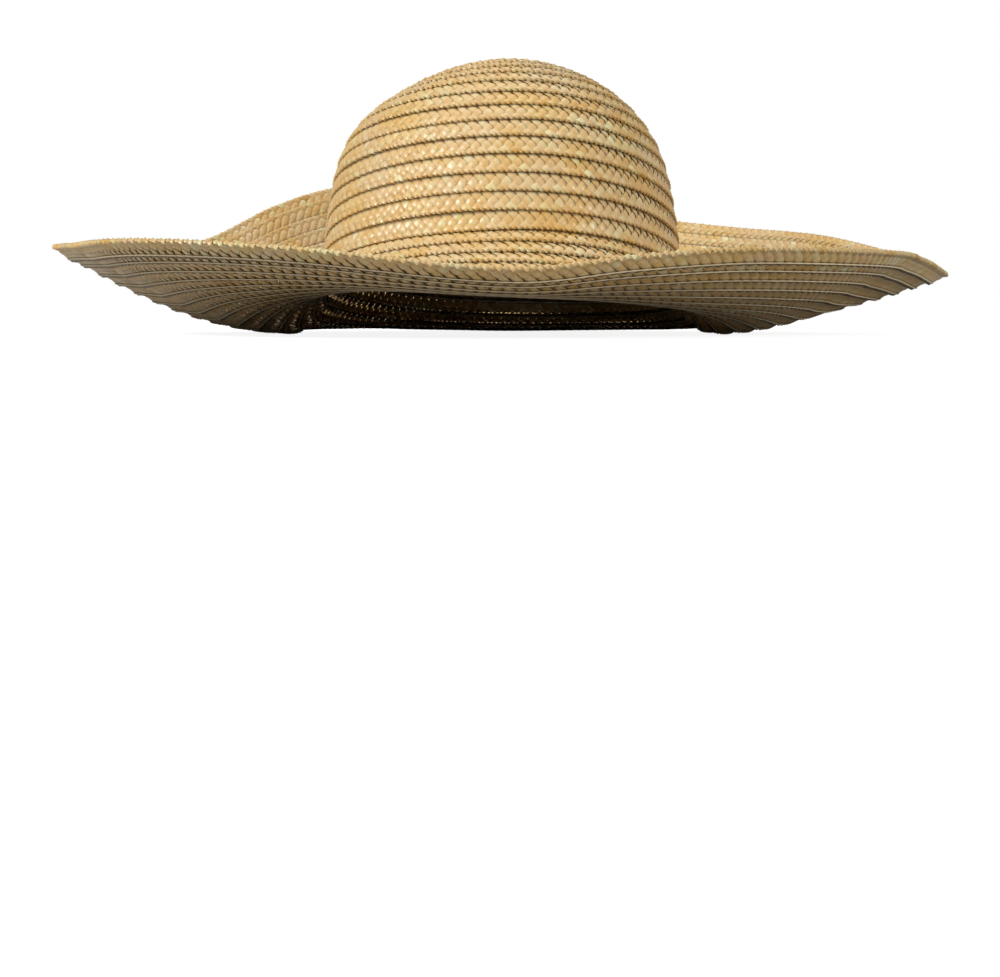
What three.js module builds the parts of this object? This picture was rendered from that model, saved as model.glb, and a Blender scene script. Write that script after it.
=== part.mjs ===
// Wide-brim hat sewn from plaited straw braid, lying on a floor on its own brim.
// Millimetres, +Z up, the front of the hat faces -Y. Azimuths are degrees from the front, positive towards +X.

import * as THREE from "three";

// Driving dimensions
const ROW_PITCH = 9.15;            // one turn of the sewn braid to the next
const CROWN_ROWS = 17;
const BRIM_ROWS = 16;
const WALL_THIN = 1.5;             // wall where a row tucks in under the row before it
const WALL_THICK = 2.6;            // wall where a row's outer edge laps over the next row
const ROW_STEP = 0.05;             // run of the face where a row's outer edge steps down
const SEAM_GAP = 0.3;              // crown to brim
const CROWN_LEAN = 12;             // degrees that the crown leans back where the hat rests
const AZIMUTH_STEPS = 60;          // facets round the hat
const INSIDE_ROWS = 1.5;           // rows spanned by one facet of the smooth inside
const TIP = new THREE.Vector3(3.69, 31.3, 128.5);    // top of the crown above the middle of the hat

const CROWN_LENGTH = CROWN_ROWS * ROW_PITCH;
const BRIM_WIDTH = BRIM_ROWS * ROW_PITCH;    // as sewn flat, before the brim is blocked to its sections
const STEP = 1;                    // length of one step when a section is followed
const NORMAL_REACH = 4 * STEP;     // the wall's direction is taken over this length each way

// Crown sections: fall below the plane of the tip, degrees, at stations along the wall from the tip down
const CROWN_SECTIONS = [
  { station: 0, left: 5, right: 5, front: 3, back: 3 },
  { station: 20, left: 14, right: 15, front: 13, back: 11 },
  { station: 40, left: 24, right: 26, front: 25, back: 21 },
  { station: 55, left: 31, right: 37, front: 35, back: 29 },
  { station: 70, left: 36, right: 50, front: 45, back: 38 },
  { station: 80, left: 46, right: 59, front: 53, back: 46 },
  { station: 92, left: 65, right: 71, front: 62, back: 57 },
  { station: 105, left: 76, right: 79, front: 70, back: 67 },
  { station: 120, left: 83, right: 83, front: 76, back: 76 },
  { station: 140, left: 85, right: 84, front: 82, back: 82 },
  { station: CROWN_LENGTH, left: 83, right: 80, front: 84, back: 83 },
];

// Brim sections. width is measured along the brim, root is the slope where it leaves the crown, valley the height
// of its lowest line at the station valleyAt, rim the height of the edge and rimSlope the slope there.
const BRIM_SECTIONS = [
  { azimuth: -180, width: 148, root: -45, valleyAt: 26, valley: 0, rim: 76, rimSlope: 58 },
  { azimuth: -165, width: 150, root: -45, valleyAt: 26, valley: 0.5, rim: 83, rimSlope: 66 },
  { azimuth: -150, width: 152, root: -45, valleyAt: 26, valley: 1, rim: 83.5, rimSlope: 71 },
  { azimuth: -140, width: 152, root: -45, valleyAt: 27, valley: 1.5, rim: 72, rimSlope: 66 },
  { azimuth: -130, width: 151, root: -46, valleyAt: 28, valley: 1.5, rim: 52.5, rimSlope: 54 },
  { azimuth: -120, width: 150, root: -48, valleyAt: 30, valley: 1.5, rim: 43, rimSlope: 38 },
  { azimuth: -105, width: 150, root: -52, valleyAt: 34, valley: 1.2, rim: 41, rimSlope: 31 },
  { azimuth: -90, width: 155, root: -55, valleyAt: 38, valley: 0.8, rim: 40.5, rimSlope: 30 },
  { azimuth: -74, width: 156, root: -56, valleyAt: 41, valley: 0, rim: 39, rimSlope: 29 },
  { azimuth: -60, width: 150, root: -52, valleyAt: 48, valley: 2.5, rim: 37.5, rimSlope: 29 },
  { azimuth: -40, width: 147, root: -44, valleyAt: 66, valley: 14, rim: 36.3, rimSlope: 28 },
  { azimuth: -22, width: 145, root: -40, valleyAt: 76, valley: 18.5, rim: 32, rimSlope: 27 },
  { azimuth: 0, width: 144, root: -38, valleyAt: 84, valley: 16, rim: 23.8, rimSlope: 26 },
  { azimuth: 12, width: 144, root: -39, valleyAt: 81, valley: 14.5, rim: 28.6, rimSlope: 27 },
  { azimuth: 24, width: 144, root: -41, valleyAt: 76, valley: 12, rim: 31.8, rimSlope: 26 },
  { azimuth: 40, width: 144, root: -46, valleyAt: 60.5, valley: 8, rim: 32.2, rimSlope: 25 },
  { azimuth: 56, width: 144.5, root: -54, valleyAt: 43, valley: 1.5, rim: 31.9, rimSlope: 23 },
  { azimuth: 68, width: 141, root: -60, valleyAt: 38.5, valley: 0.1, rim: 30, rimSlope: 22 },
  { azimuth: 80, width: 139, root: -60, valleyAt: 29.5, valley: 4, rim: 26.6, rimSlope: 20 },
  { azimuth: 92, width: 140, root: -56, valleyAt: 30, valley: 5.5, rim: 28.2, rimSlope: 17 },
  { azimuth: 106, width: 144, root: -50, valleyAt: 28, valley: 4, rim: 37.5, rimSlope: 23 },
  { azimuth: 124, width: 145, root: -46, valleyAt: 27, valley: 1.5, rim: 51, rimSlope: 34 },
  { azimuth: 142, width: 146, root: -45, valleyAt: 26, valley: 1, rim: 58.5, rimSlope: 40 },
  { azimuth: 160, width: 147, root: -45, valleyAt: 26, valley: 0.5, rim: 67, rimSlope: 48 },
];

const radians = THREE.MathUtils.degToRad;

// One column of the crown's sections, on a straight line between the stations
function crownColumn(column, station) {
  const next = Math.max(CROWN_SECTIONS.findIndex((row) => row.station > station), 1);
  const upper = CROWN_SECTIONS[next - 1];
  const lower = CROWN_SECTIONS[next];
  return THREE.MathUtils.mapLinear(station, upper.station, lower.station, upper[column], lower[column]);
}

// Smooth curve through four equally weighted neighbours, between the second and the third
function smoothBetween(before, from, to, after, share) {
  const pullFrom = (to - before) / 2;
  const pullTo = (after - from) / 2;
  const bend = 3 * (to - from) - 2 * pullFrom - pullTo;
  const swing = 2 * (from - to) + pullFrom + pullTo;
  return from + share * (pullFrom + share * (bend + share * swing));
}

// The crown's fall below the tip plane: its sides blended into its front and back round the hat
function crownFall(azimuth, station) {
  const turned = radians(azimuth);
  const side = Math.sin(turned) < 0 ? "left" : "right";
  const end = Math.cos(turned) > 0 ? "front" : "back";
  return crownColumn(side, station) * Math.sin(turned) ** 2 + crownColumn(end, station) * Math.cos(turned) ** 2;
}

// One brim section at any azimuth, each column drawn smoothly through the table, which closes on itself
function brimSection(azimuth) {
  const count = BRIM_SECTIONS.length;
  const turned = ((azimuth + 180) % 360 + 360) % 360 - 180;
  let first = count - 1;
  while (BRIM_SECTIONS[first].azimuth > turned) first -= 1;
  const rows = [-1, 0, 1, 2].map((offset) => BRIM_SECTIONS[(first + offset + count) % count]);
  const width = (rows[2].azimuth - rows[1].azimuth + 360) % 360;
  const share = (turned - rows[1].azimuth) / width;
  const section = {};
  for (const column of ["width", "root", "valleyAt", "valley", "rim", "rimSlope"]) {
    section[column] = smoothBetween(...rows.map((row) => row[column]), share);
  }
  return section;
}

// Height on a smooth curve from one station to another, with the slopes at its ends
function bentHeight(from, to, station) {
  const span = to.station - from.station;
  const share = (station - from.station) / span;
  const rest = 1 - share;
  const ends = from.height * (1 + 2 * share) * rest * rest + to.height * (3 - 2 * share) * share * share;
  return ends + span * share * rest * (Math.sin(from.slope) * rest - Math.sin(to.slope) * share);
}

function brimHeight(section, crownEdge, station) {
  const root = { station: 0, height: crownEdge, slope: radians(section.root) };
  const valley = { station: section.valleyAt, height: section.valley, slope: 0 };
  const rim = { station: section.width, height: section.rim, slope: radians(section.rimSlope) };
  return station < section.valleyAt ? bentHeight(root, valley, station) : bentHeight(valley, rim, station);
}

// Points every STEP along the hat's inner face at one azimuth, from the tip down the crown and out to the rim
function followSection(azimuth) {
  const outward = new THREE.Vector3(Math.sin(radians(azimuth)), -Math.cos(radians(azimuth)), 0);
  const lean = new THREE.Matrix4().makeRotationX(-radians(CROWN_LEAN));
  const point = TIP.clone();
  const line = [point.clone()];
  for (let station = STEP / 2; station < CROWN_LENGTH; station += STEP) {
    const fall = radians(crownFall(azimuth, station));
    const move = outward.clone().multiplyScalar(Math.cos(fall)).setZ(-Math.sin(fall)).applyMatrix4(lean);
    point.addScaledVector(move, STEP);
    line.push(point.clone());
  }
  const section = brimSection(azimuth);
  const crownEdge = point.z;
  const stretch = section.width / BRIM_WIDTH;
  for (let station = STEP; station < BRIM_WIDTH + STEP; station += STEP) {
    const height = brimHeight(section, crownEdge, station * stretch);
    const rise = height - point.z;
    point.addScaledVector(outward, Math.sqrt(Math.max((STEP * stretch) ** 2 - rise * rise, 0)));
    point.z = height;
    line.push(point.clone());
  }
  return line;
}

const AZIMUTH_WIDTH = 360 / AZIMUTH_STEPS;
const LINES = Array.from({ length: AZIMUTH_STEPS }, (_, index) => followSection(index * AZIMUTH_WIDTH));

function pointOn(lineIndex, station) {
  const line = LINES[(lineIndex + AZIMUTH_STEPS) % AZIMUTH_STEPS];
  const last = line.length - 1;
  const place = Math.min(station / STEP, last);
  const before = Math.min(Math.floor(place), last - 1);
  return line[before].clone().lerp(line[before + 1], place - before);
}

// A point at a station along the wall, set off outwards from the inner face
function wallPoint(lineIndex, station, offset) {
  const point = pointOn(lineIndex, station);
  if (station < STEP) {
    const axis = new THREE.Vector3(0, Math.sin(radians(CROWN_LEAN)), Math.cos(radians(CROWN_LEAN)));
    return point.addScaledVector(axis, offset);
  }
  const outer = pointOn(lineIndex, station + NORMAL_REACH);
  const inner = pointOn(lineIndex, Math.max(station - NORMAL_REACH, 0));
  const round = pointOn(lineIndex + 1, station).sub(pointOn(lineIndex - 1, station));
  return point.addScaledVector(outer.sub(inner).cross(round).normalize(), offset);
}

// Wall profile as (station, offset): shingled rows on the outside, a smooth face on the inside
function wallProfile(start, end, closesOnAxis) {
  const outside = [];
  const rows = Math.round((end - start) / ROW_PITCH);
  for (let row = 0; row < rows; row += 1) {
    const from = start + row * ROW_PITCH;
    outside.push(new THREE.Vector2(from, row === 0 && closesOnAxis ? WALL_THICK : WALL_THIN));
    outside.push(new THREE.Vector2(Math.min(from + ROW_PITCH, end) - ROW_STEP, WALL_THICK));
  }
  const inside = [];
  const facets = Math.ceil(rows / INSIDE_ROWS);
  for (let facet = 0; facet <= facets; facet += 1) {
    inside.push(new THREE.Vector2(end - (end - start) * facet / facets, 0));
  }
  const profile = [...outside, ...inside];
  if (!closesOnAxis) profile.push(profile[0].clone());
  return profile.reverse();
}

// The profile is spun round as a lathe shape, then each vertex is carried onto the hat's form
function strawWall(name, start, end, closesOnAxis, color) {
  const geometry = new THREE.LatheGeometry(wallProfile(start, end, closesOnAxis), AZIMUTH_STEPS);
  const vertices = geometry.getAttribute("position");
  for (let index = 0; index < vertices.count; index += 1) {
    const station = Math.hypot(vertices.getX(index), vertices.getZ(index));
    const azimuth = Math.atan2(vertices.getX(index), vertices.getZ(index));
    const lineIndex = Math.round(THREE.MathUtils.radToDeg(azimuth) / AZIMUTH_WIDTH + AZIMUTH_STEPS) % AZIMUTH_STEPS;
    const point = wallPoint(lineIndex, station, vertices.getY(index));
    vertices.setXYZ(index, point.x, point.y, point.z);
  }
  geometry.computeVertexNormals();
  const straw = new THREE.MeshStandardMaterial({ color, roughness: 0.55, metalness: 0, side: THREE.DoubleSide });
  const mesh = new THREE.Mesh(geometry, straw);
  mesh.name = name;
  return mesh;
}

const hat = new THREE.Group();
hat.add(strawWall("crown", 0, CROWN_LENGTH, true, 0xd9b37c));
hat.add(strawWall("brim", CROWN_LENGTH + SEAM_GAP, CROWN_LENGTH + BRIM_WIDTH, false, 0xcfa871));

export default hat;
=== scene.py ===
import math

import bmesh
import bpy
import numpy as np
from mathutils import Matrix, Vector


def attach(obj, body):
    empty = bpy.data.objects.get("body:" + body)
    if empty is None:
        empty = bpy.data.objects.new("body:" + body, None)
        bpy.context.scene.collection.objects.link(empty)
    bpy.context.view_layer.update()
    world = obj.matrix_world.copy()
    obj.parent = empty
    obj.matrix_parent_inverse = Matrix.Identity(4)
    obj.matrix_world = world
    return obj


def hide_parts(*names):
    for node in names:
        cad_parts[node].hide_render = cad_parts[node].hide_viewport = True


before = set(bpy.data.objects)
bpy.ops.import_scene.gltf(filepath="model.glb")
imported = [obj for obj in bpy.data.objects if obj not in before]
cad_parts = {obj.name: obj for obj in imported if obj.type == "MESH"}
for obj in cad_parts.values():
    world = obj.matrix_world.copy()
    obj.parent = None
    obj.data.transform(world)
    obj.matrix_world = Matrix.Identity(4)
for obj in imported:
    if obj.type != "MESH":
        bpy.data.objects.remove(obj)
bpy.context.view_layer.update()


# Studio
# A white table under soft light, and the camera low in front of the hat, as the photograph was taken.
# The hat lies with its middle over the origin and its front towards -Y.

def srgb(hex_colour):
    """Linear colour from an sRGB hex value."""
    channels = [int(hex_colour[i:i + 2], 16) / 255 for i in (1, 3, 5)]
    return [c / 12.92 if c <= 0.04045 else ((c + 0.055) / 1.055) ** 2.4 for c in channels] + [1.0]


def add_node(owner, kind, links=(), **settings):
    """Adds a node to a material or world; settings name properties or inputs, links are (input, output)."""
    node = owner.node_tree.nodes.new(kind)
    for name, value in settings.items():
        if hasattr(node, name):
            setattr(node, name, value)
        else:
            node.inputs[name.replace("_", " ")].default_value = value
    for socket, source in links:
        owner.node_tree.links.new(source, node.inputs[socket])
    return node


PHOTO_FOCAL = 59.76             # mm on a 36 mm sensor
CAMERA_PLACE = (-0.00095, -0.8187, 0.009)
CAMERA_PITCH = 5.95             # degrees below level
LAMP_AIM = Vector((0, 0, 0.06))
TABLE_HALF = 12                 # metres
PAPER_GLOW = 0.88               # towards the camera only, for a table as white as the photo's ground
SKY_LIGHT = 0.38                # on the hat
SKY_SEEN = 1.0                  # behind the hat

camera = bpy.data.objects.new("camera", bpy.data.cameras.new("camera"))
bpy.context.scene.collection.objects.link(camera)
camera.data.lens = PHOTO_FOCAL
camera.data.sensor_width = 36
camera.data.clip_start = 0.01
camera.location = CAMERA_PLACE
camera.rotation_euler = (math.radians(90 - CAMERA_PITCH), 0, 0)
bpy.context.scene.camera = camera

table_mesh = bmesh.new()
bmesh.ops.create_grid(table_mesh, x_segments=1, y_segments=1, size=TABLE_HALF)
table_top = bpy.data.objects.new("table_top", bpy.data.meshes.new("table_top"))
table_mesh.to_mesh(table_top.data)
table_mesh.free()
bpy.context.scene.collection.objects.link(table_top)
white_paper = bpy.data.materials.new("white_paper")
white_paper.use_nodes = True
paper_shader = white_paper.node_tree.nodes["Principled BSDF"]
paper_shader.inputs["Base Color"].default_value = srgb("#b4b4b4")
paper_shader.inputs["Roughness"].default_value = 1.0
paper_shader.inputs["Specular IOR Level"].default_value = 0
paper_shader.inputs["Emission Color"].default_value = srgb("#ffffff")
seen = add_node(white_paper, "ShaderNodeLightPath")
glow = add_node(white_paper, "ShaderNodeMath", [(0, seen.outputs["Is Camera Ray"])], operation="MULTIPLY")
glow.inputs[1].default_value = PAPER_GLOW
white_paper.node_tree.links.new(glow.outputs[0], paper_shader.inputs["Emission Strength"])
table_top.data.materials.append(white_paper)

for name, place, size, power in (
    ("soft_top", (-0.1, 0.05, 1.6), 1.1, 6),
    ("soft_left", (-1.2, -0.8, 0.95), 0.6, 20),
    ("soft_right", (1.05, -1.05, 0.42), 0.4, 7.5),
):
    lamp = bpy.data.lights.new(name, "AREA")
    lamp.size = size
    lamp.energy = power
    stand = bpy.data.objects.new(name, lamp)
    stand.location = place
    stand.rotation_euler = (LAMP_AIM - stand.location).to_track_quat("-Z", "Y").to_euler()
    bpy.context.scene.collection.objects.link(stand)

world = bpy.data.worlds.new("white_room")
world.use_nodes = True
sky = world.node_tree.nodes["Background"]
sky.inputs["Color"].default_value = srgb("#ffffff")
seen_sky = add_node(world, "ShaderNodeLightPath")
sky_strength = add_node(
    world, "ShaderNodeMapRange", [("Value", seen_sky.outputs["Is Camera Ray"])],
    To_Min=SKY_LIGHT, To_Max=SKY_SEEN,
)
world.node_tree.links.new(sky_strength.outputs["Result"], sky.inputs["Strength"])
bpy.context.scene.world = world
bpy.context.scene.view_settings.view_transform = "Standard"


# Form
# The hat was sewn round and then blocked by hand: a crown that leans back, and a brim with a fall and a
# rise that differ all the way round. These are the same sections as those of the solid crown and brim.

MM = 0.001
ROW_PITCH = 9.15 * MM
CROWN_LENGTH = 17 * ROW_PITCH
BRIM_WIDTH = 16 * ROW_PITCH
CROWN_LEAN = math.radians(12)
TIP = np.array([3.69, 31.3, 128.5]) * MM

# Fall of the crown below the plane of its tip: station mm, then left, right, front and back in degrees
CROWN_SECTIONS = np.array([
    (0, 5, 5, 3, 3),
    (20, 14, 15, 13, 11),
    (40, 24, 26, 25, 21),
    (55, 31, 37, 35, 29),
    (70, 36, 50, 45, 38),
    (80, 46, 59, 53, 46),
    (92, 65, 71, 62, 57),
    (105, 76, 79, 70, 67),
    (120, 83, 83, 76, 76),
    (140, 85, 84, 82, 82),
    (155.55, 83, 80, 84, 83),
])

# Brim: azimuth, width mm, root slope, valley station and height mm, rim height mm, rim slope
BRIM_SECTIONS = np.array([
    (-180, 148, -45, 26, 0, 76, 58),
    (-165, 150, -45, 26, 0.5, 83, 66),
    (-150, 152, -45, 26, 1, 83.5, 71),
    (-140, 152, -45, 27, 1.5, 72, 66),
    (-130, 151, -46, 28, 1.5, 52.5, 54),
    (-120, 150, -48, 30, 1.5, 43, 38),
    (-105, 150, -52, 34, 1.2, 41, 31),
    (-90, 155, -55, 38, 0.8, 40.5, 30),
    (-74, 156, -56, 41, 0, 39, 29),
    (-60, 150, -52, 48, 2.5, 37.5, 29),
    (-40, 147, -44, 66, 14, 36.3, 28),
    (-22, 145, -40, 76, 18.5, 32, 27),
    (0, 144, -38, 84, 16, 23.8, 26),
    (12, 144, -39, 81, 14.5, 28.6, 27),
    (24, 144, -41, 76, 12, 31.8, 26),
    (40, 144, -46, 60.5, 8, 32.2, 25),
    (56, 144.5, -54, 43, 1.5, 31.9, 23),
    (68, 141, -60, 38.5, 0.1, 30, 22),
    (80, 139, -60, 29.5, 4, 26.6, 20),
    (92, 140, -56, 30, 5.5, 28.2, 17),
    (106, 144, -50, 28, 4, 37.5, 23),
    (124, 145, -46, 27, 1.5, 51, 34),
    (142, 146, -45, 26, 1, 58.5, 40),
    (160, 147, -45, 26, 0.5, 67, 48),
])

AZIMUTHS = np.radians(np.arange(0, 360, 1.0))
STATION_STEP = 1 * MM
BEYOND_RIM = 6                  # steps carried past the rim, for braid that stands out there


def crown_column(column, station):
    """One column of the crown's sections at a station."""
    return np.interp(station / MM, CROWN_SECTIONS[:, 0], CROWN_SECTIONS[:, column])


def crown_fall(station):
    """Fall below the tip's plane at every azimuth: the sides blended into the front and the back."""
    side = np.where(np.sin(AZIMUTHS) < 0, crown_column(1, station), crown_column(2, station))
    end = np.where(np.cos(AZIMUTHS) > 0, crown_column(3, station), crown_column(4, station))
    return np.radians(side * np.sin(AZIMUTHS) ** 2 + end * np.cos(AZIMUTHS) ** 2)


def brim_column(column):
    """One column of the brim's sections at every azimuth, drawn smoothly through the closed table."""
    turned = (np.degrees(AZIMUTHS) + 180) % 360 - 180
    first = np.searchsorted(BRIM_SECTIONS[:, 0], turned, side="right") - 1
    rows = [(first + offset) % len(BRIM_SECTIONS) for offset in (-1, 0, 1, 2)]
    before, start, finish, after = [BRIM_SECTIONS[row, column] for row in rows]
    width = (BRIM_SECTIONS[rows[2], 0] - BRIM_SECTIONS[rows[1], 0]) % 360
    share = (turned - BRIM_SECTIONS[rows[1], 0]) / width
    pull_start = (finish - before) / 2
    pull_finish = (after - start) / 2
    bend = 3 * (finish - start) - 2 * pull_start - pull_finish
    swing = 2 * (start - finish) + pull_start + pull_finish
    return start + share * (pull_start + share * (bend + share * swing))


def bent_height(span, share, low, high, low_slope, high_slope):
    """Height at a share of a span that is bent to start and end at the given heights and slopes."""
    rest = 1 - share
    ends = low * (1 + 2 * share) * rest ** 2 + high * (3 - 2 * share) * share ** 2
    return ends + span * share * rest * (np.sin(low_slope) * rest - np.sin(high_slope) * share)


def follow_sections():
    """Points every STATION_STEP along the inner face at each azimuth, as [azimuth, station, xyz]."""
    outward = np.stack([np.sin(AZIMUTHS), -np.cos(AZIMUTHS)], axis=1)
    point = np.tile(TIP, (len(AZIMUTHS), 1))
    line = [point.copy()]
    station = STATION_STEP / 2
    while station < CROWN_LENGTH:
        fall = crown_fall(station)
        x = outward[:, 0] * np.cos(fall)
        y = outward[:, 1] * np.cos(fall)
        z = -np.sin(fall)
        lean_y = y * math.cos(CROWN_LEAN) + z * math.sin(CROWN_LEAN)
        lean_z = z * math.cos(CROWN_LEAN) - y * math.sin(CROWN_LEAN)
        point = point + STATION_STEP * np.stack([x, lean_y, lean_z], axis=1)
        line.append(point.copy())
        station += STATION_STEP
    width = brim_column(1) * MM
    root = np.radians(brim_column(2))
    valley_at = brim_column(3) * MM
    valley = brim_column(4) * MM
    rim = brim_column(5) * MM
    rim_slope = np.radians(brim_column(6))
    crown_edge = point[:, 2].copy()
    stretch = width / BRIM_WIDTH
    steps = int(BRIM_WIDTH / STATION_STEP)
    for step in range(1, steps + 2):
        at = step * STATION_STEP * stretch
        inner = bent_height(valley_at, at / valley_at, crown_edge, valley, root, 0 * root)
        outer = bent_height(
            width - valley_at, (at - valley_at) / (width - valley_at), valley, rim, 0 * root, rim_slope
        )
        height = np.where(at < valley_at, inner, outer)
        rise = height - point[:, 2]
        run = np.sqrt(np.maximum((STATION_STEP * stretch) ** 2 - rise ** 2, 0))
        point = np.column_stack([point[:, :2] + outward * run[:, None], height])
        line.append(point.copy())
    for _ in range(BEYOND_RIM):
        line.append(2 * line[-1] - line[-2])
    return np.stack(line, axis=1)


def facing_out(form):
    """Outward normal at each point of the form."""
    along = np.gradient(form, axis=1)
    around = np.roll(form, -1, axis=0) - np.roll(form, 1, axis=0)
    normal = np.cross(along, around)
    normal[:, 0] = [0, math.sin(CROWN_LEAN), math.cos(CROWN_LEAN)]
    return normal / np.linalg.norm(normal, axis=2, keepdims=True)


FORM = follow_sections()
FACING = facing_out(FORM)


def on_hat(azimuth, station, offset):
    """Points at an azimuth in degrees and a station, set off outwards from the inner face."""
    column = (azimuth % 360) / 360 * len(AZIMUTHS)
    left = np.floor(column).astype(int)
    share_round = (column - left)[..., None]
    left = left % len(AZIMUTHS)
    right = (left + 1) % len(AZIMUTHS)
    row = np.clip(station / STATION_STEP, 0, FORM.shape[1] - 1.001)
    upper = np.floor(row).astype(int)
    share_down = (row - upper)[..., None]

    def read(table):
        top = table[left, upper] * (1 - share_round) + table[right, upper] * share_round
        bottom = table[left, upper + 1] * (1 - share_round) + table[right, upper + 1] * share_round
        return top * (1 - share_down) + bottom * share_down

    return read(FORM) + read(FACING) * offset[..., None]


# Braid
# Four flattened straws are plaited into a flat braid about 11 mm wide. From the outer edge each straw
# folds over, lies over one straw, under one and over one, then folds under the inner edge and comes back
# the other way.

STRAWS = 4
STRAW_SPACING = 4.9 * MM        # along the braid, from one straw's fold to the next
BRAID_WIDTH = 10.9 * MM
STRAW_THICKNESS = 0.8 * MM
LAYER = 0.42 * MM               # from the braid's middle plane to the middle of its upper or lower layer
OUTER_ROLL = 0.9 * MM           # radius of the puffed roll where a straw folds round the row's outer edge
INNER_ROLL = 0.5 * MM           # the same at the inner edge, which the stitches press flat
ROLL_FADE = 0.8 * MM            # length over which a roll flattens into the layer
CROWDING = 0.8 * MM             # shift of the braid's middle towards its outer edge, where straws crowd
STRAW_SHARE = 0.5               # half a straw's width, in straw spacings
STRAW_TILT = 0.14 * MM          # rise of a straw's leading side over the next straw
HALF_CYCLE = 4                  # crossings from fold to fold
FOLD_TO_FOLD = BRAID_WIDTH + (math.pi / 2 - 1) * (OUTER_ROLL + INNER_ROLL)
CROSSING = FOLD_TO_FOLD / HALF_CYCLE
FOLD_STOPS = (-0.8, -0.45, -0.2, 0.2, 0.45, 0.8)    # sections round a fold, in crossings
DIP = 0.3                       # half the length of a straw's dip from one layer to the other
DIP_STOPS = (-DIP, DIP)
FIRST_DIP = 1.5                 # crossings from a fold to the first dip
NEXT_DIP = 1                    # crossings from the first dip to the second

# The braid is wound clockwise from the tip, each row's outer edge lapped over the next row.
# At the end it runs level along the rim for one turn, and tucks its end under the row before.
START_AZIMUTH = 236
FIRST_TURN = -0.9               # the braid starts narrow at the tip's middle and widens over its first turn
END_AZIMUTH = 170
FULL_TURNS = 32
CROWN_LAST = 150 * MM           # station where the crown's even pitch ends
TURNS = FULL_TURNS + (START_AZIMUTH - END_AZIMUTH) / 360
CROWN_TURNS = (CROWN_LAST - BRAID_WIDTH / 2) / ROW_PITCH
RIM_REACH = 1.4 * MM            # the folds stand out past the solid brim's rim
RIM_ROW = CROWN_LENGTH + BRIM_WIDTH - BRAID_WIDTH / 2 + RIM_REACH
BRIM_PITCH = (RIM_ROW - CROWN_LAST) / (TURNS - 1 - CROWN_TURNS)
TUCK_SHARE = 0.5                # part of a pitch that the braid climbs where its end is tucked under
TUCK_TURN = 0.12                # part of a turn that the climb takes
TUCK_FADE = 3.0                 # turns over which the climb fades out inwards
LAP_RISE = 1.55 * MM            # rise of a row from its inner edge to its outer edge
BULGE = 0.7 * MM                # height of the arch across a row's upper layer
BULGE_BELOW = 0.35              # part of it that the lower layer follows
LOW_OFFSET = 0.92 * MM          # middle plane of the braid at a row's inner edge, off the inner face
KNOTS_PER_TURN = 720

random = np.random.default_rng(7)


def row_station(turn):
    """Station of the braid's middle after a number of turns from the tip."""
    crown = (BRAID_WIDTH + ROW_PITCH * (turn + np.maximum(turn, 0))) / 2
    left = np.maximum(TURNS - 1 - turn, 0)
    part = left % 1
    climb = np.where(part < TUCK_TURN, part / TUCK_TURN, (1 - part) / (1 - TUCK_TURN))
    brim = RIM_ROW - BRIM_PITCH * (left + TUCK_SHARE * climb * np.exp(-left / TUCK_FADE))
    return np.where(turn < CROWN_TURNS, crown, brim)


def smooth_noise(along, wave, size):
    """A gentle seeded wobble with knots a wave apart."""
    count = int(np.max(along) / wave) + 3
    return size * np.interp(along, np.arange(count) * wave, random.uniform(-1, 1, count))


TURN_KNOTS = np.linspace(FIRST_TURN, TURNS, int(TURNS * KNOTS_PER_TURN))
MIDDLE_LINE = on_hat(START_AZIMUTH - 360 * TURN_KNOTS, row_station(TURN_KNOTS), 0 * TURN_KNOTS + LAP_RISE)
LENGTH_KNOTS = np.concatenate([[0], np.cumsum(np.linalg.norm(np.diff(MIDDLE_LINE, axis=0), axis=1))])
BRAID_LENGTH = LENGTH_KNOTS[-1]
ROW_WOBBLE = smooth_noise(LENGTH_KNOTS, wave=38 * MM, size=0.28 * MM)
WIDTH_WOBBLE = 1 + smooth_noise(LENGTH_KNOTS, wave=52 * MM, size=0.025)


def on_braid(length, across, lift):
    """Points on the sewn braid: its length from the tip, across to its outer edge, and lift outwards."""
    turn = np.interp(length, LENGTH_KNOTS, TURN_KNOTS)
    wobble = np.interp(length, LENGTH_KNOTS, ROW_WOBBLE) * (turn < TURNS - 1)
    across = across * np.interp(length, LENGTH_KNOTS, WIDTH_WOBBLE)
    across = across + CROWDING * np.maximum(1 - (2 * across / BRAID_WIDTH) ** 2, 0)
    tilt = LOW_OFFSET + LAP_RISE * (across / BRAID_WIDTH + 0.5)
    layer_share = np.clip(0.5 + 0.5 * lift / LAYER, 0, 1)
    arch = BULGE * (BULGE_BELOW + (1 - BULGE_BELOW) * layer_share)
    tilt = tilt + arch * np.maximum(1 - (2 * across / BRAID_WIDTH) ** 2, 0)
    across = across * (1 + np.minimum(turn, 0) * ROW_PITCH / BRAID_WIDTH)
    last_turn = np.clip(turn - (TURNS - 1), 0, 1)
    gap = (row_station(turn) - row_station(turn - 1)) / BRIM_PITCH
    tucked = np.where(last_turn > 0, LAP_RISE * np.clip(1 - gap, 0, 1), 0)
    return on_hat(START_AZIMUTH - 360 * turn, row_station(turn) + across + wobble, tilt + lift - tucked)


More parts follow.
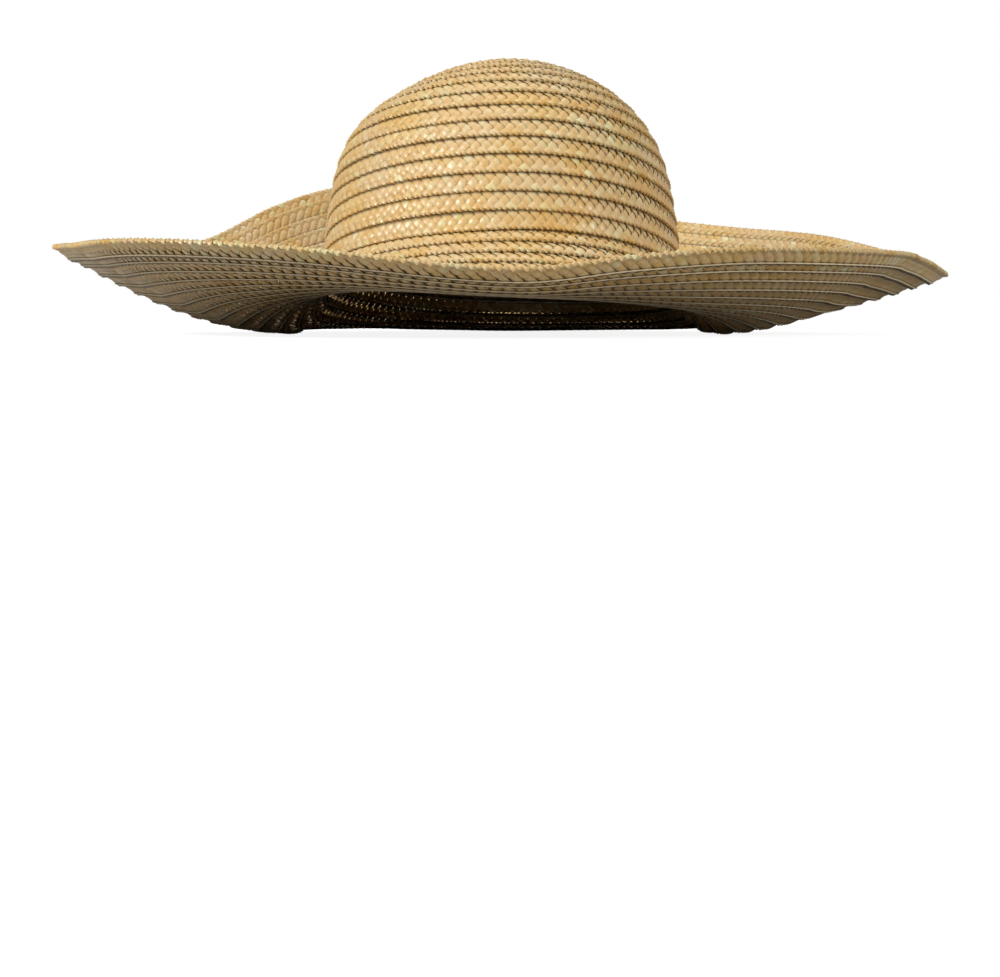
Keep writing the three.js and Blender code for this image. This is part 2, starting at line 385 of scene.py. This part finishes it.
def lay_straws(first_length, last_length):
    """Where each straw's sections stand on one stretch of the braid: cycle, kind of section and stop."""
    half_cycles = int(2 * BRAID_LENGTH / (STRAW_SPACING * HALF_CYCLE)) + 2
    offsets = np.tile(FOLD_STOPS + DIP_STOPS + DIP_STOPS, half_cycles + 1)
    kinds = np.tile([0] * len(FOLD_STOPS) + [1] * len(DIP_STOPS) + [2] * len(DIP_STOPS), half_cycles + 1)
    cycle = np.repeat(np.arange(-1, half_cycles), len(FOLD_STOPS) + 2 * len(DIP_STOPS))
    stops = offsets + FIRST_DIP * (kinds > 0) + NEXT_DIP * (kinds > 1)
    laid = []
    for straw in range(STRAWS):
        along = cycle * HALF_CYCLE + stops + straw
        length = (along + straw) * STRAW_SPACING / 2
        first, last = np.searchsorted(length, (first_length, last_length))
        kept = slice(first, last + 1)
        laid.append((straw, along[kept], cycle[kept], kinds[kept], offsets[kept]))
    return laid


def straw_sections(straw, along, cycle, kinds, offsets, thickness, width, raise_by):
    """Corners of each section of one straw, at its sides and faces, and how far across each one lies."""
    edge = np.where(cycle % 2 == 0, 1, -1)
    roll = np.where(cycle % 2 == 0, OUTER_ROLL, INNER_ROLL)
    dip = LAYER * np.sign(offsets)
    corners, reaches = [], []
    for side, face in ((1, 0), (0, 1), (-1, 0), (0, -1)):
        aside = straw + side * STRAW_SHARE * width
        from_fold = (along - aside - cycle * HALF_CYCLE) * CROSSING
        wrap = np.clip(from_fold / roll, -math.pi / 2, math.pi / 2)
        past = np.maximum(np.abs(from_fold) - roll * math.pi / 2, 0)
        reach = BRAID_WIDTH / 2 - roll + roll * np.cos(wrap) - past
        fold_height = LAYER + (roll - LAYER) * np.exp(-past / ROLL_FADE)
        layer = edge * np.choose(kinds, [np.sin(wrap) * fold_height, -dip, dip])
        up = edge * np.where(kinds == 0, np.sin(wrap), 1)
        out = np.where(kinds == 0, np.cos(wrap), 0)
        across = edge * (reach + out * face * thickness / 2)
        lift = layer + up * face * thickness / 2 + np.abs(up) * side * STRAW_TILT + raise_by
        length = (along + aside) * STRAW_SPACING / 2
        corners.append(on_braid(np.clip(length, 0, BRAID_LENGTH), across, lift))
        reaches.append(across)
    return np.stack(corners, axis=1), np.stack(reaches, axis=1)


def joined_mesh(name, points, faces, uvs, **values):
    """An object of many four-sided strands, with a UV map along each and named values at each point."""
    mesh = bpy.data.meshes.new(name)
    mesh.vertices.add(len(points))
    mesh.vertices.foreach_set("co", points.ravel())
    mesh.loops.add(faces.size)
    mesh.loops.foreach_set("vertex_index", faces.ravel().astype(np.int32))
    mesh.polygons.add(len(faces))
    mesh.polygons.foreach_set("loop_start", np.arange(0, faces.size, 4, dtype=np.int32))
    mesh.update(calc_edges=True)
    mesh.uv_layers.new(name="along_strand").data.foreach_set("uv", uvs.ravel())
    for value_name, numbers in values.items():
        mesh.attributes.new(value_name, "FLOAT", "POINT").data.foreach_set("value", numbers)
    mesh.shade_smooth()
    mesh.set_sharp_from_angle(angle=math.radians(60))
    strands = bpy.data.objects.new(name, mesh)
    bpy.context.scene.collection.objects.link(strands)
    return strands


def strand_faces(base, count, run):
    """Faces and UVs of one four-sided strand whose sections start at point base, closed at both ends."""
    faces, uvs = [], []
    ring = base + 4 * np.arange(count - 1)[:, None]
    for corner in range(4):
        following = (corner + 1) % 4
        faces.append(np.hstack([ring + corner, ring + following, ring + 4 + following, ring + 4 + corner]))
        low = 0.5 * corner
        sides = [(run[:-1], low), (run[:-1], low + 0.5), (run[1:], low + 0.5), (run[1:], low)]
        uvs.append(np.stack([np.column_stack([x, np.full(count - 1, y)]) for x, y in sides], axis=1))
    last = base + 4 * (count - 1)
    faces.append(np.array([[base + 3, base + 2, base + 1, base], [last, last + 1, last + 2, last + 3]]))
    uvs.append(np.zeros((2, 4, 2)))
    return np.vstack(faces), np.vstack(uvs)


STRAW_SEED = 1000
MANY_ARMS = 8000                # more values than one straw has arms, two for each half cycle
ARMS_BEFORE = 10                # unused values before the first arm
SHADE_RUN = 3                   # half cycles over which a length of straw changes its shade
THICKNESS_SPREAD = 0.12         # parts of the thickness
WIDTH_SPREAD = 0.05             # parts of the width
LIFT_SPREAD = 0.07 * MM
TONE_SPREAD = 0.28              # of one arm, and the same again for a length of the straw


def plait(name, first_turn, last_turn):
    """One stretch of the braid as a mesh of closed straws."""
    first_length, last_length = np.interp((first_turn, last_turn), TURN_KNOTS, LENGTH_KNOTS)
    points, faces, tones, reaches, uvs = [], [], [], [], []
    base = 0
    for straw, along, cycle, kinds, offsets in lay_straws(first_length, last_length):
        own_values = np.random.default_rng(STRAW_SEED + straw).uniform(-1, 1, (5, MANY_ARMS))
        knots = np.arange(MANY_ARMS)
        place = (along - straw) / HALF_CYCLE + ARMS_BEFORE
        thickness = STRAW_THICKNESS * (1 + THICKNESS_SPREAD * np.interp(place, knots, own_values[0]))
        width = 1 + WIDTH_SPREAD * np.interp(place, knots, own_values[1])
        raise_by = LIFT_SPREAD * np.interp(place, knots, own_values[2])
        sections, across = straw_sections(straw, along, cycle, kinds, offsets, thickness, width, raise_by)
        points.append(sections.reshape(-1, 3))
        reaches.append(across.ravel())
        arm = 2 * cycle + (kinds > 1) + ARMS_BEFORE
        length_shade = np.interp(place / SHADE_RUN, knots, own_values[4])
        tone = 0.5 + TONE_SPREAD * (own_values[3, arm] + length_shade)
        tones.append(np.repeat(tone, 4))
        strand, strand_uvs = strand_faces(base, len(along), along * CROSSING)
        faces.append(strand)
        uvs.append(strand_uvs)
        base += 4 * len(along)
    return joined_mesh(
        name, np.vstack(points), np.vstack(faces), np.vstack(uvs),
        tone=np.concatenate(tones), across=np.concatenate(reaches) / MM,
    )


# Natural wheat straw, split, flattened and plaited dry: pale gold with greener and redder lengths, a fine
# grain along each straw, a waxy sheen, painted shade along the seams, and light that comes through it warm.
GRAIN_WIDTH = 0.35 * MM
GRAIN_LENGTH = 7 * MM
STRAW_WIDTH = 4.6 * MM          # one unit of the UV map's second coordinate
PATCH = 22 * MM                 # lengths of the braid that were bleached alike
SEAM_LINE = (BRAID_WIDTH / 2 - ROW_PITCH) / MM    # mm across the braid where the row before covers it
SEAM_SHADE_WIDTH = 1.1                # mm of painted shade along that line

wheat_straw = bpy.data.materials.new("plaited_wheat_straw")
wheat_straw.use_nodes = True
straw_shader = wheat_straw.node_tree.nodes["Principled BSDF"]
straw_shader.inputs["IOR"].default_value = 1.5
straw_shader.inputs["Coat Weight"].default_value = 0.3
straw_shader.inputs["Coat Roughness"].default_value = 0.2
straw_shader.inputs["Subsurface Weight"].default_value = 0.2
straw_shader.inputs["Subsurface Radius"].default_value = (1.0, 0.6, 0.35)
straw_shader.inputs["Subsurface Scale"].default_value = 0.001
tone = add_node(wheat_straw, "ShaderNodeAttribute", attribute_name="tone")
shades = add_node(wheat_straw, "ShaderNodeValToRGB", [("Fac", tone.outputs["Fac"])])
shades.color_ramp.elements[1].color = srgb("#e8d8ab")
shades.color_ramp.elements[0].color = srgb("#cda566")
for place, colour in ((0.2, "#d4ae70"), (0.45, "#d8b57b"), (0.7, "#dbbe88"), (0.85, "#d9c68e")):
    shades.color_ramp.elements.new(place).color = srgb(colour)
along_strand = add_node(wheat_straw, "ShaderNodeUVMap", uv_map="along_strand")
stretched = add_node(
    wheat_straw, "ShaderNodeMapping", [("Vector", along_strand.outputs["UV"])],
    Scale=(1 / GRAIN_LENGTH, STRAW_WIDTH / GRAIN_WIDTH, 1),
)
grain = add_node(
    wheat_straw, "ShaderNodeTexNoise", [("Vector", stretched.outputs["Vector"])], Scale=1, Detail=3,
)
place_on_hat = add_node(wheat_straw, "ShaderNodeTexCoord")
patches = add_node(
    wheat_straw, "ShaderNodeTexNoise", [("Vector", place_on_hat.outputs["Object"])],
    Scale=1 / PATCH, Detail=2,
)
brightness = add_node(
    wheat_straw, "ShaderNodeMapRange", [("Value", grain.outputs["Fac"])],
    From_Min=0.3, From_Max=0.7, To_Min=0.88, To_Max=1.08,
)
across_braid = add_node(wheat_straw, "ShaderNodeAttribute", attribute_name="across")
# Painted shade: the colour darkens to 0.3 along the seam, where the lap of the row before casts its shadow;
# the grain's brightness is multiplied by it.
seam_painted_shade = add_node(
    wheat_straw, "ShaderNodeMapRange", [("Value", across_braid.outputs["Fac"])],
    From_Min=SEAM_LINE, From_Max=SEAM_LINE + SEAM_SHADE_WIDTH, To_Min=0.3, To_Max=1.0,
)
grain_and_painted_shade = add_node(
    wheat_straw, "ShaderNodeMath", [(0, brightness.outputs["Result"]), (1, seam_painted_shade.outputs["Result"])],
    operation="MULTIPLY",
)
bleached = add_node(
    wheat_straw, "ShaderNodeMapRange", [("Value", patches.outputs["Fac"])],
    From_Min=0.35, From_Max=0.65, To_Min=1.1, To_Max=0.94,
)
straw_colour = add_node(
    wheat_straw, "ShaderNodeHueSaturation",
    [("Color", shades.outputs["Color"]), ("Value", grain_and_painted_shade.outputs["Value"]),
     ("Saturation", bleached.outputs["Result"])],
)
gloss = add_node(
    wheat_straw, "ShaderNodeMapRange", [("Value", grain.outputs["Fac"])],
    From_Min=0.3, From_Max=0.7, To_Min=0.44, To_Max=0.3,
)
ridges = add_node(
    wheat_straw, "ShaderNodeBump", [("Height", grain.outputs["Fac"])], Strength=0.4, Distance=0.00012,
)
for socket, source in (
    ("Base Color", straw_colour.outputs["Color"]),
    ("Roughness", gloss.outputs["Result"]),
    ("Normal", ridges.outputs["Normal"]),
):
    wheat_straw.node_tree.links.new(source, straw_shader.inputs[socket])

SPLIT_TURN = 16.4               # where the crown's pieces end and the brim's begin
BRAID_PIECES = (
    ("crown_top_braid", "crown", FIRST_TURN, 11.2),
    ("crown_side_braid", "crown", 11.2, SPLIT_TURN),
    ("brim_inner_braid", "brim", SPLIT_TURN, 23.0),
    ("brim_middle_braid", "brim", 23.0, 28.0),
    ("brim_outer_braid", "brim", 28.0, TURNS),
)
for name, node, first_turn, last_turn in BRAID_PIECES:
    braid = plait(name, first_turn, last_turn)
    braid.data.materials.append(wheat_straw)
    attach(braid, "root")
    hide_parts(node)


# Thread
# One line of chain stitch in pale cotton holds each row to the row before it. Its needle holes are hidden
# under the lap outside, and its looped side runs round the inside of the hat, just in from each row's
# inner edge.

THREAD_START = 0.3              # turn where the first row is stitched down
THREAD_INSET = 1.8 * MM         # from a row's inner edge
THREAD_LIFT = -LAYER - 0.6 * MM    # on the under side of the braid
LOOP_RADIUS = 0.42 * MM
NECK_RADIUS = 0.3 * MM          # between one loop and the next
FLATTENED = 0.7                 # a loop's height, as a part of its width

cotton = bpy.data.materials.new("twisted_cotton_thread")
cotton.use_nodes = True
cotton.node_tree.nodes["Principled BSDF"].inputs["Base Color"].default_value = srgb("#dcc8a2")
cotton.node_tree.nodes["Principled BSDF"].inputs["Roughness"].default_value = 0.7


def chain_stitch(name, first_turn, last_turn):
    """A line of loops, one for each straw, as a four-sided strand that swells and narrows."""
    first_length, last_length = np.interp((first_turn, last_turn), TURN_KNOTS, LENGTH_KNOTS)
    length = np.arange(first_length, last_length, STRAW_SPACING / 2)
    radius = np.where(np.arange(len(length)) % 2 == 0, LOOP_RADIUS, NECK_RADIUS)
    corners = []
    for side, face in ((-1, 0), (0, 1), (1, 0), (0, -1)):
        across = THREAD_INSET - BRAID_WIDTH / 2 + side * radius
        corners.append(on_braid(length, across, THREAD_LIFT + face * radius * FLATTENED))
    points = np.stack(corners, axis=1).reshape(-1, 3)
    faces, uvs = strand_faces(0, len(length), length)
    return joined_mesh(name, points, faces, uvs)


for name, node, first_turn, last_turn in (
    ("crown_thread", "crown", THREAD_START, SPLIT_TURN),
    ("brim_thread", "brim", SPLIT_TURN, TURNS),
):
    thread = chain_stitch(name, first_turn, last_turn)
    thread.data.materials.append(cotton)
    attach(thread, "root")
    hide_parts(node)
